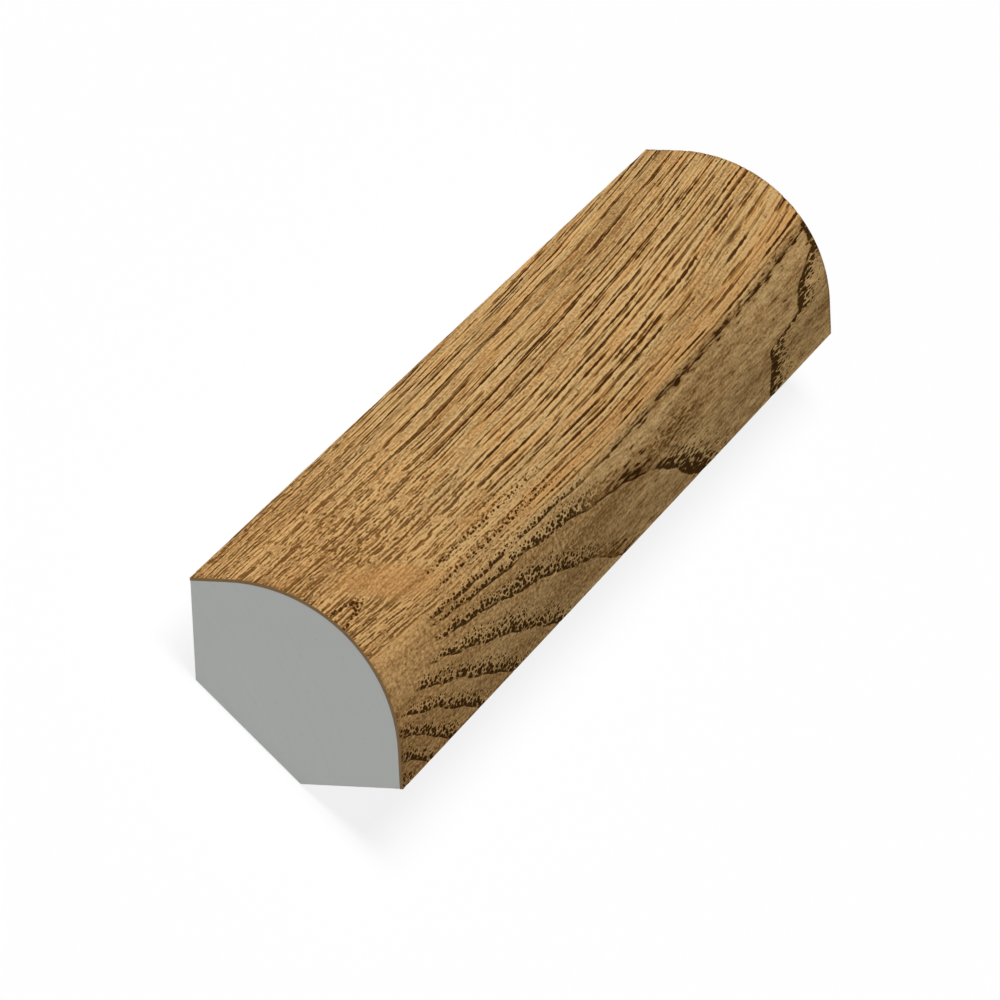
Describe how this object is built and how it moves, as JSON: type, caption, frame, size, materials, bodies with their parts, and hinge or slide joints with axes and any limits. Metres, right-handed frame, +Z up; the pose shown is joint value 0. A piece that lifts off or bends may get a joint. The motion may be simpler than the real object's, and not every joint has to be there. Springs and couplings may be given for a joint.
{
  "type": "quarter round moulding",
  "caption": "Quarter round moulding: straight trim with a rounded face wrapped in wood-grain film over a solid core, covering the joint between a floor and a wall.",
  "frame": {"origin": "on the surface the piece lies on, at the middle of its relief, at mid-length", "axes": "+Y along the length, +Z up through the middle of the round; the wall leg faces down and towards -X, the floor leg down and towards +X"},
  "size_m": [0.027, 0.1524, 0.0139],
  "materials": {
    "core": "matte",
    "decor_film": "matte"
  },
  "bodies": {
    "root": {"core": "core", "decor_film": "decor_film"}
  },
  "joints": []
}
